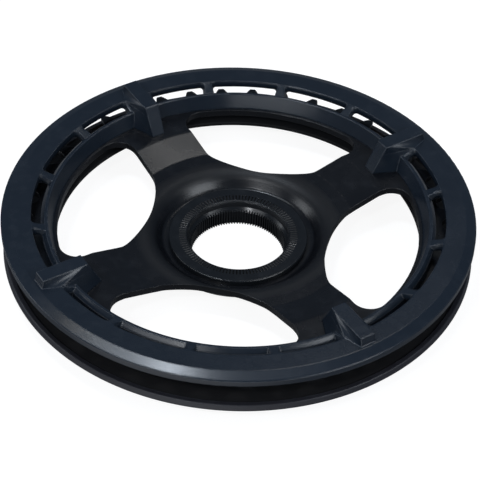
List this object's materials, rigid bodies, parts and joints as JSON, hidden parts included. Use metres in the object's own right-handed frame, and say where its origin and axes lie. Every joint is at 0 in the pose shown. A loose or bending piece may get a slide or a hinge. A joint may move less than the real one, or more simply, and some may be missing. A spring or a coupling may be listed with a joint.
{
  "type": "bicycle chainring",
  "caption": "Black bicycle chainring on a dished spider with a splined hub, its toothed ring held between a slotted outer chain guard with raised lugs and a plain inner guard.",
  "frame": {"origin": "on the hub axis, at the back face of the hub, which is the lowest point when the ring lies flat", "axes": "+Z along the hub axis towards the outer chain guard; the four arms lie at 45 degrees to X and Y"},
  "size_m": [0.178, 0.178, 0.0279],
  "materials": {
    "spider_finish": "satin",
    "hub_finish": "satin",
    "outer_guard_finish": "satin",
    "inner_guard_finish": "matte",
    "screw_finish": "satin"
  },
  "bodies": {
    "root": {"chainring": "spider_finish", "splined_hub": "hub_finish", "outer_guard": "outer_guard_finish", "inner_guard": "inner_guard_finish", "guard_screws": "screw_finish"}
  },
  "joints": []
}
